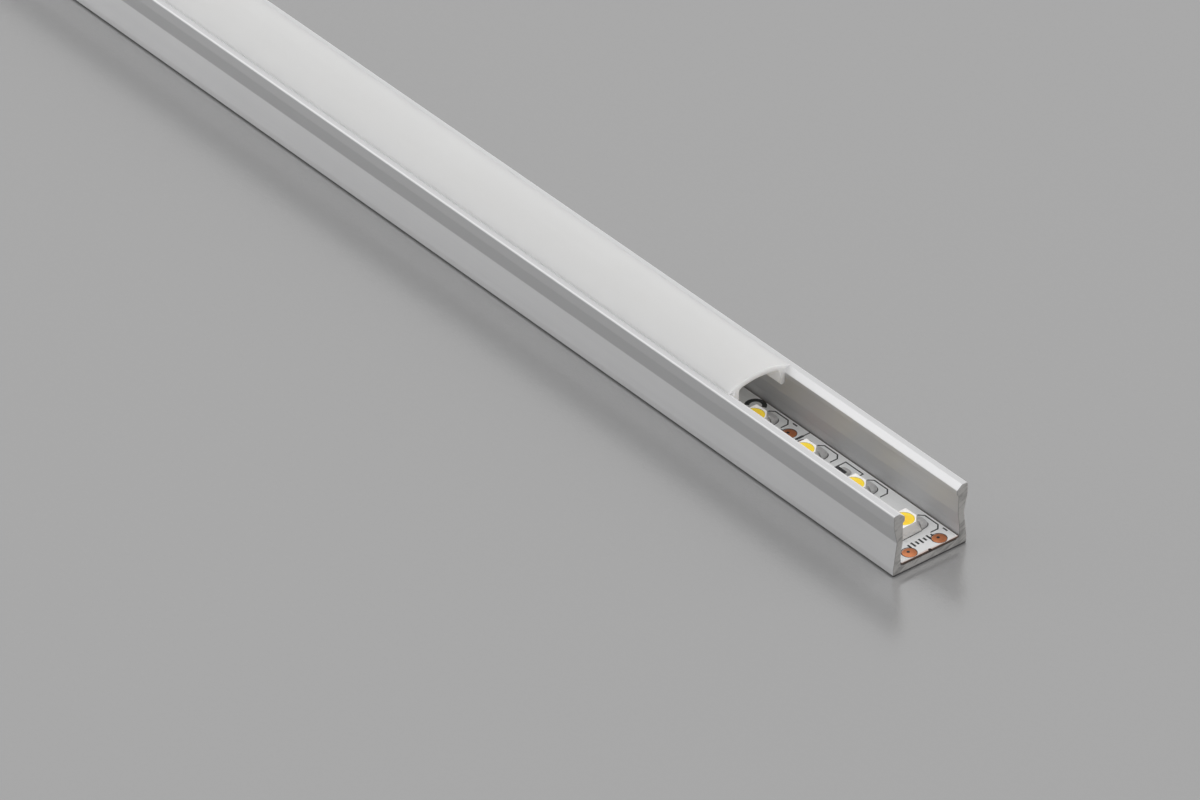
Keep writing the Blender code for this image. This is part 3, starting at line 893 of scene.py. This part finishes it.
def housing_mesh(sizes):
    """A moulded housing on the origin: drawn-in sides, a key corner and a reflector cup."""
    height = LED_SIZE.z
    mesh = box_on_origin((sizes.length, LED_SIZE.y, height))
    cut_by_plane(mesh, (0, 0, sizes.part_height), (0, 0, 1))
    for vertex in mesh.verts:
        if abs(vertex.co.z - sizes.part_height) > NEARLY:
            vertex.co.x -= math.copysign(sizes.draft, vertex.co.x)
            vertex.co.y -= math.copysign(sizes.draft, vertex.co.y)
    key = [
        edge for edge in mesh.edges
        if all(vertex.co.x > 0 and vertex.co.y < 0 for vertex in edge.verts)
        and max(vertex.co.z for vertex in edge.verts) > height - NEARLY
        and edge.verts[0].co.z != edge.verts[1].co.z
    ]
    bevel_edges(mesh, key, sizes.key_corner, 1)
    bevel_edges(mesh, mesh.edges[:], sizes.edge_radius, 3)
    carve_cup(mesh, sizes, height)
    bmesh.ops.recalc_face_normals(mesh, faces=mesh.faces)
    return mesh


def carve_cup(mesh, sizes, height):
    """Opens the top face with a round rim and draws the cup down from it."""
    top = max((face for face in mesh.faces if face.normal.z > 0.999), key=lambda face: face.calc_area())
    border = list(top.edges)
    bmesh.ops.delete(mesh, geom=[top], context="FACES_ONLY")
    lip = 0.03 * MM
    radius, level = sizes.cup_top + lip, height
    loop = round_loop(mesh, radius, (0.0, 0.0, height), CUP_STEPS)
    bmesh.ops.triangle_fill(mesh, use_beauty=True, edges=border + loop, normal=(0, 0, 1))
    profile = [
        (sizes.cup_top + lip * 0.3, height - lip * 0.3),
        (sizes.cup_top, height - lip),
        (sizes.cup_floor, height - sizes.cup_depth),
    ]
    for next_radius, next_level in profile:
        pushed = bmesh.ops.extrude_edge_only(mesh, edges=loop)["geom"]
        verts = of_type(pushed, bmesh.types.BMVert)
        share = next_radius / radius
        bmesh.ops.scale(mesh, vec=(share, share, 1.0), verts=verts)
        bmesh.ops.translate(mesh, vec=(0.0, 0.0, next_level - level), verts=verts)
        edges = dict.fromkeys(of_type(pushed, bmesh.types.BMEdge))
        loop = [edge for edge in edges if all(vertex in verts for vertex in edge.verts)]
        radius, level = next_radius, next_level
    bmesh.ops.contextual_create(mesh, geom=loop)


def resin_mesh(sizes):
    """The resin in a cup, its top drawn up at the rim."""
    height = LED_SIZE.z
    gap = 0.02 * MM
    bottom = height - sizes.cup_depth + gap
    top = height - sizes.fill_drop
    slope = (sizes.cup_top - sizes.cup_floor) / sizes.cup_depth
    reach = sizes.cup_top - slope * sizes.fill_drop - gap / 2
    shares = [ring / 8 for ring in range(9)]
    hollow = [(reach * share, top - sizes.sag * (1 - share ** 2)) for share in shares]
    return turned_shape([*hollow, (sizes.cup_floor - gap, bottom), (0.0, bottom)], CUP_STEPS)


def solder_mesh(reach, half_width, height):
    """A squarish lobe of solder, highest where it starts at the upright plane through the origin."""
    mesh = bmesh.new()
    bmesh.ops.create_uvsphere(mesh, u_segments=48, v_segments=24, radius=1.0)
    for vertex in mesh.verts:
        squared = Vector([math.copysign(abs(part) ** 0.65, part) for part in vertex.co])
        vertex.co = Vector((squared.x, squared.y, squared.z * (1.0 - 0.45 * abs(squared.x))))
    bmesh.ops.scale(mesh, vec=(reach, half_width, height), verts=mesh.verts)
    for normal in ((1, 0, 0), (0, 0, 1)):
        bmesh.ops.contextual_create(mesh, geom=cut_by_plane(mesh, (0, 0, 0), normal, clear=True))
    bmesh.ops.remove_doubles(mesh, verts=mesh.verts, dist=WELD_REACH)
    bmesh.ops.recalc_face_normals(mesh, faces=mesh.faces)
    return mesh


def both_sides(shape, reach):
    """A shape at a distance along X, and again on the opposite side."""
    pair = bmesh.new()
    stamped(pair, shape, [Vector((reach, 0.0, 0.0))])
    stamped(pair, shape, [Vector((-reach, 0.0, 0.0))], math.pi)
    shape.free()
    return pair


class BUILD_OT_channel(bpy.types.Operator):
    """The waisted aluminium extrusion with rounded lips and sawn ends"""

    bl_idname = "led_channel.channel"
    bl_label = "Aluminium channel"

    def execute(self, context):
        sizes = context.scene.led_channel_body
        bar = extruded_section(channel_corners(sizes), OPEN_END, FAR_END)
        break_cut_edges(bar, sizes.deburr, (OPEN_END, FAR_END))
        finish = aluminium_finish(sizes)
        piece = finished_piece(
            "aluminium_channel", bar, (finish,), "channel", ("channel",)
        )
        weigh_normals(piece)
        return {"FINISHED"}


class BUILD_OT_cover(bpy.types.Operator):
    """The milky cover: an arch with two gripping legs and a thin flange on each side"""

    bl_idname = "led_channel.cover"
    bl_label = "Diffuser cover"

    def execute(self, context):
        sizes = context.scene.led_channel_cover
        bar, finish = cover_bar(sizes), cover_finish(sizes)
        piece = finished_piece("milky_cover", bar, (finish,), "cover", ("diffuser_cover",))
        weigh_normals(piece)
        return {"FINISHED"}


class BUILD_OT_board(bpy.types.Operator):
    """Finishes of the strip's board and of the tape under it"""

    bl_idname = "led_channel.board"
    bl_label = "Board and tape"

    def execute(self, context):
        sizes = context.scene.led_channel_strip
        add_materials(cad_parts["circuit_board"], coating_finish(sizes))
        add_materials(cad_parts["adhesive_tape"], tape_finish(sizes))
        return {"FINISHED"}


class BUILD_OT_copper(bpy.types.Operator):
    """The round copper pads on both sides of every cut line"""

    bl_idname = "led_channel.copper"
    bl_label = "Copper pads"

    def execute(self, context):
        sizes = context.scene.led_channel_strip
        mesh = bmesh.new()
        stamp = pad_mesh(sizes)
        stamped(mesh, stamp, pad_places(sizes))
        stamp.free()
        pads = finished_piece("copper_pads", mesh, (copper_finish(sizes),), "channel")
        weigh_normals(pads)
        return {"FINISHED"}


class BUILD_OT_print(bpy.types.Operator):
    """The strip's printed outlines, signs, ticks and cut lines, and painted shadow lines of dark ink round
    the housings' feet and the solder
    """

    bl_idname = "led_channel.print"
    bl_label = "Printed marks"

    def execute(self, context):
        sizes = context.scene.led_channel_strip
        led = context.scene.led_channel_led
        mesh = bmesh.new()
        foot = Vector((led.length, LED_SIZE.y)) / 2
        for place, turn in zip(LED_PLACES, LED_TURNS):
            print_led_outline(mesh, place, sizes.print_width)
            print_painted_foot_shadow(mesh, place, foot, turn)
        for name in RESISTOR_NODES:
            print_resistor_frame(mesh, name, sizes.print_width)
        for cut in cut_lines(sizes)[:-1]:
            print_segment(mesh, sizes, cut)
        for place in pad_places(sizes):
            print_pad_rings(mesh, sizes, place)
        ring = (2.7 * MM, OPEN_END + 32.35 * MM)
        start, angle = math.radians(-62.0), math.radians(200.0)
        printed_ring(mesh, ring, sizes.ring_radius, sizes.ring_width, start, angle)
        draw_out(mesh, (0.0, 0.0, sizes.print_lift))
        # Painted contact shadow: a dark ink rim a little wider than each solder lobe, for the shade where the
        # solder meets the board.
        rim = 0.07 * MM
        painted_contact_shadow = solder_mesh(led.solder_reach + rim, led.solder_width + rim, sizes.print_lift)
        painted_contact_shadow = both_sides(painted_contact_shadow, led.length / 2)
        stamped_at_leds(mesh, painted_contact_shadow, BOARD_TOP)
        painted_contact_shadow.free()
        finished_piece("printed_marks", mesh, (ink_and_painted_shadow_finish(sizes),), "channel")
        return {"FINISHED"}


class BUILD_OT_leds(bpy.types.Operator):
    """The moulded LED housings with their cups and the phosphor resin in them"""

    bl_idname = "led_channel.leds"
    bl_label = "LED housings and resin"

    def execute(self, context):
        sizes = context.scene.led_channel_led
        kinds = (
            ("housing", housing_mesh(sizes), housing_finish(sizes), "led_housing", LED_NODES),
            ("resin", resin_mesh(sizes), resin_finish(sizes), "phosphor_resin", PHOSPHOR_NODES),
        )
        for kind, stamp, material, slot, nodes in kinds:
            for number, (place, turn, node) in enumerate(zip(LED_PLACES, LED_TURNS, nodes), start=1):
                mesh = bmesh.new()
                stamped(mesh, stamp, [Vector((place.x, place.y, LED_BOTTOM))], turn)
                finished_piece(f"{kind}_{number:02d}", mesh, (material,), "channel", (node,))
            stamp.free()
        return {"FINISHED"}


class BUILD_OT_solder(bpy.types.Operator):
    """The leads on the housings' sides and the solder that holds leads and resistors"""

    bl_idname = "led_channel.solder"
    bl_label = "Leads and solder"

    def execute(self, context):
        sizes = context.scene.led_channel_led
        # The lobes take a share of painted shade where they fall away steeply.
        metal, lobed = solder_finish(sizes.solder), solder_finish(sizes.solder, 0.25)
        thickness = (LED_SIZE.x - sizes.length) / 2
        plate = rounded_box((thickness * 1.6, sizes.lead_width, sizes.lead_height), 0.03 * MM, 2)
        plates = both_sides(plate, LED_SIZE.x / 2 - thickness * 0.8)
        lobe = solder_mesh(sizes.solder_reach, sizes.solder_width, sizes.solder_height)
        lobes = both_sides(lobe, sizes.length / 2 - 0.02 * MM)
        leads, joints = bmesh.new(), bmesh.new()
        stamped_at_leds(leads, plates, LED_BOTTOM)
        stamped_at_leds(joints, lobes, BOARD_TOP)
        low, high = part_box(RESISTOR_NODES[0])
        small = both_sides(solder_mesh(0.85 * MM, 0.74 * MM, 0.5 * MM), (high.x - low.x) / 2)
        for name in RESISTOR_NODES:
            low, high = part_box(name)
            stamped(joints, small, [Vector(((low.x + high.x) / 2, (low.y + high.y) / 2, BOARD_TOP))])
        for shape in (plates, lobes, small):
            shape.free()
        finished_piece("led_leads", leads, (metal,), "channel")
        finished_piece("solder_joints", joints, (lobed,), "channel")
        return {"FINISHED"}


class BUILD_OT_resistors(bpy.types.Operator):
    """The chip resistors: a glazed ceramic body between two tinned ends"""

    bl_idname = "led_channel.resistors"
    bl_label = "Chip resistors"

    def execute(self, context):
        sizes = context.scene.led_channel_led
        materials = (chip_finish(sizes.glaze), solder_finish(sizes.solder))
        for number, node in enumerate(RESISTOR_NODES, start=1):
            low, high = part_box(node)
            size = high - low
            end = 0.85 * MM
            foot = Vector(((low.x + high.x) / 2, (low.y + high.y) / 2, low.z))
            mesh = bmesh.new()
            middle = rounded_box((size.x - 2 * end, size.y * 0.94, size.z * 0.92), 0.03 * MM, 2)
            stamped(mesh, middle, [foot])
            middle.free()
            ceramic_faces = len(mesh.faces)
            cap = rounded_box((end, size.y, size.z), 0.05 * MM, 3)
            spread = Vector(((size.x - end) / 2, 0.0, 0.0))
            stamped(mesh, cap, [foot - spread, foot + spread])
            cap.free()
            mesh.faces.ensure_lookup_table()
            for face in mesh.faces[ceramic_faces:]:
                face.material_index = 1
            finished_piece(f"chip_resistor_{number}", mesh, materials, "channel", (node,))
        return {"FINISHED"}


class BUILD_OT_stage(bpy.types.Operator):
    """Floor, soft studio light and camera"""

    bl_idname = "led_channel.stage"
    bl_label = "Stage"

    def execute(self, context):
        settings = context.scene.led_channel_stage
        scene = context.scene
        scene.view_settings.view_transform = "Standard"
        self.add_floor(settings)
        self.add_light(scene, settings)
        self.add_camera(scene, settings)
        return {"FINISHED"}

    def add_floor(self, settings):
        floor = bmesh.new()
        bmesh.ops.create_grid(floor, x_segments=1, y_segments=1, size=FLOOR_REACH)
        data = bpy.data.meshes.new("floor")
        floor.to_mesh(data)
        floor.free()
        piece = linked("floor", data)
        finish = Finish("floor_board")
        fibre = finish.noise(1500.0, 5.0, 0.7)
        cloud = finish.noise(12.0)
        finish.set(
            Base_Color=finish.shades(fibre * 0.6 + cloud * 0.4, settings.floor_colour, 0.965, 1.035),
            Roughness=settings.floor_roughness,
            IOR=settings.floor_gloss,
        )
        add_materials(piece, finish.with_relief(fibre, 0.02 * MM))

    def add_light(self, scene, settings):
        """A dome that is dimmer low in front and on the left, and three soft lamps."""
        scene.world = bpy.data.worlds.new("studio")
        sky = Finish("studio", scene.world)
        x, y, z = sky.axes()
        low_ahead = (y * -1.0).largest(0.0) * (1.0 - z)
        left = (x * -1.0).largest(0.0)
        dimmed = low_ahead * settings.dome_front + left * settings.dome_left
        sky.set(Color=(1.0, 1.0, 1.0), Strength=settings.dome_strength - dimmed)
        for name, (place, width) in LAMPS.items():
            self.add_lamp(name, Vector(place), width, getattr(settings, f"{name}_power"))

    def add_lamp(self, name, place, width, power):
        """A square soft lamp that looks at the object's middle."""
        lamp = bpy.data.lights.new(name, "AREA")
        lamp.shape = "SQUARE"
        lamp.size = width
        lamp.energy = power
        self.point(linked(name, lamp), place, -place)

    def point(self, item, place, ahead):
        """Puts a lamp or the camera at a place, with its view along a direction."""
        item.location = place
        item.rotation_mode = "QUATERNION"
        item.rotation_quaternion = ahead.to_track_quat("-Z", "Y")

    def add_camera(self, scene, settings):
        turn, lift = settings.azimuth, settings.elevation
        right = Vector((math.cos(turn), math.sin(turn), 0.0))
        ahead = Vector((-math.sin(turn) * math.cos(lift), math.cos(turn) * math.cos(lift), -math.sin(lift)))
        above = right.cross(ahead)
        aim = Vector((0.0, OPEN_END, 0.0)) - right * settings.aim_left + above * settings.aim_above
        data = bpy.data.cameras.new("camera")
        data.sensor_width = 36.0
        data.lens = settings.lens
        data.clip_start = 0.05
        data.clip_end = 20.0
        scene.camera = linked("camera", data)
        self.point(scene.camera, aim - ahead * settings.distance, ahead)


SETTINGS = {
    "led_channel_stage": StageSettings,
    "led_channel_body": ChannelSettings,
    "led_channel_cover": CoverSettings,
    "led_channel_strip": StripSettings,
    "led_channel_led": LedSettings,
}
OPERATORS = (
    BUILD_OT_stage,
    BUILD_OT_channel,
    BUILD_OT_cover,
    BUILD_OT_board,
    BUILD_OT_copper,
    BUILD_OT_print,
    BUILD_OT_leds,
    BUILD_OT_solder,
    BUILD_OT_resistors,
)


class VIEW3D_PT_led_channel(bpy.types.Panel):
    """Lists the pieces and the sizes and colours that they take"""

    bl_label = "LED Channel"
    bl_space_type = "VIEW_3D"
    bl_region_type = "UI"
    bl_category = "LED Channel"

    def draw(self, context):
        for operator in OPERATORS:
            self.layout.operator(operator.bl_idname)
        for name, group in SETTINGS.items():
            box = self.layout.box()
            for key in group.__annotations__:
                box.prop(getattr(context.scene, name), key, text=key.replace("_", " ").capitalize())


def register():
    for name, group in SETTINGS.items():
        bpy.utils.register_class(group)
        setattr(bpy.types.Scene, name, bpy.props.PointerProperty(type=group))
    for item in (*OPERATORS, VIEW3D_PT_led_channel):
        bpy.utils.register_class(item)


def unregister():
    for item in reversed((*OPERATORS, VIEW3D_PT_led_channel)):
        bpy.utils.unregister_class(item)
    for name, group in SETTINGS.items():
        delattr(bpy.types.Scene, name)
        bpy.utils.unregister_class(group)


def main():
    register()
    bpy.ops.led_channel.stage()
    bpy.ops.led_channel.channel()
    bpy.ops.led_channel.cover()
    bpy.ops.led_channel.board()
    bpy.ops.led_channel.copper()
    bpy.ops.led_channel.print()
    bpy.ops.led_channel.leds()
    bpy.ops.led_channel.solder()
    bpy.ops.led_channel.resistors()


if __name__ == "__main__":
    main()
